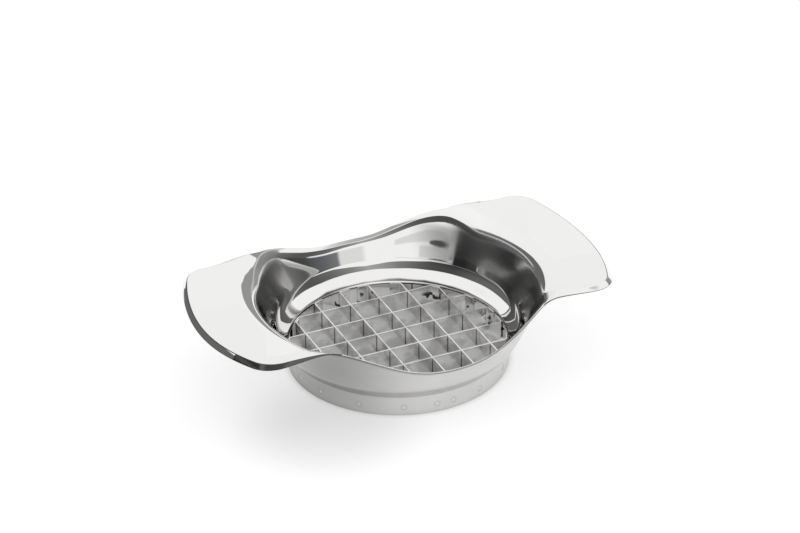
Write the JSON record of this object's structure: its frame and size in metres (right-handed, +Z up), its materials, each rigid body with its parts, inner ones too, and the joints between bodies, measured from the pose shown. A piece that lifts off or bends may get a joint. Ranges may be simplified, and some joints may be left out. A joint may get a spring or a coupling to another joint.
{
  "type": "french fry cutter",
  "caption": "Hand-press french fry cutter: pressed stainless steel bowl with two wing handles and a grid of thin blades spot-welded inside its round collar.",
  "frame": {"origin": "centre of the collar's foot ring, on the surface that the cutter stands on", "axes": "+X along the two wing handles, +Y across them, +Z up"},
  "size_m": [0.201, 0.129, 0.0434],
  "materials": {
    "pressed_steel": "mirror polished inside and on the wings, softer polish outside",
    "blade_steel": "bright rolled strip with fine grinding lines"
  },
  "bodies": {
    "root": {"body": "pressed_steel", "cross_blade_1": "blade_steel", "cross_blade_2": "blade_steel", "cross_blade_3": "blade_steel", "cross_blade_4": "blade_steel", "cross_blade_5": "blade_steel", "cross_blade_6": "blade_steel", "long_blade_1": "blade_steel", "long_blade_2": "blade_steel", "long_blade_3": "blade_steel", "long_blade_4": "blade_steel", "long_blade_5": "blade_steel", "long_blade_6": "blade_steel"}
  },
  "joints": []
}
